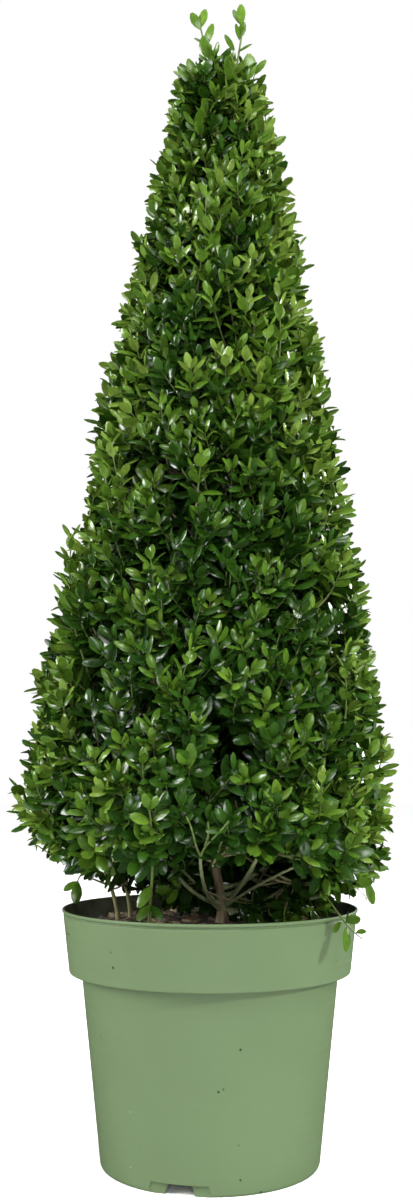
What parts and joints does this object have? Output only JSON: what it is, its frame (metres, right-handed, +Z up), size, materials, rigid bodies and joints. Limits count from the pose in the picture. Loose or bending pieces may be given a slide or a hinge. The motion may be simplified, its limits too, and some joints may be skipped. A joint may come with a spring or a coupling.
{
  "type": "potted cone topiary",
  "caption": "Clipped cone of small glossy evergreen leaves on a slim forking trunk, growing in a round green nursery pot with a banded rim and drain slots; it stands as decoration.",
  "frame": {"origin": "centre of the pot's flat underside, on the surface that the pot stands on", "axes": "+Z up through the pot and the crown, -Y towards the front, +X to the right as seen from the front"},
  "size_m": [0.3123, 0.3156, 0.9978],
  "materials": {
    "pot_plastic": "satin",
    "potting_mix": "rough",
    "bark": "rough",
    "leaves": "glossy",
    "young_leaves": "glossy"
  },
  "bodies": {
    "root": {"pot": "pot_plastic", "soil": "potting_mix", "trunk": "bark", "bough_front_left": "bark", "bough_front_right": "bark", "bough_right": "bark", "bough_back": "bark", "stem_left_outer": "bark", "stem_left_inner": "bark", "bough_trailing": "bark", "sprig_over_rim": "young_leaves", "front_shoot": "young_leaves", "foliage_lower_front_right": "leaves", "foliage_lower_right": "leaves", "foliage_lower_back": "leaves", "foliage_lower_left": "leaves", "foliage_lower_front_left": "leaves", "foliage_upper_right": "leaves", "foliage_upper_back": "leaves", "foliage_upper_left": "leaves", "foliage_top": "leaves"}
  },
  "joints": []
}
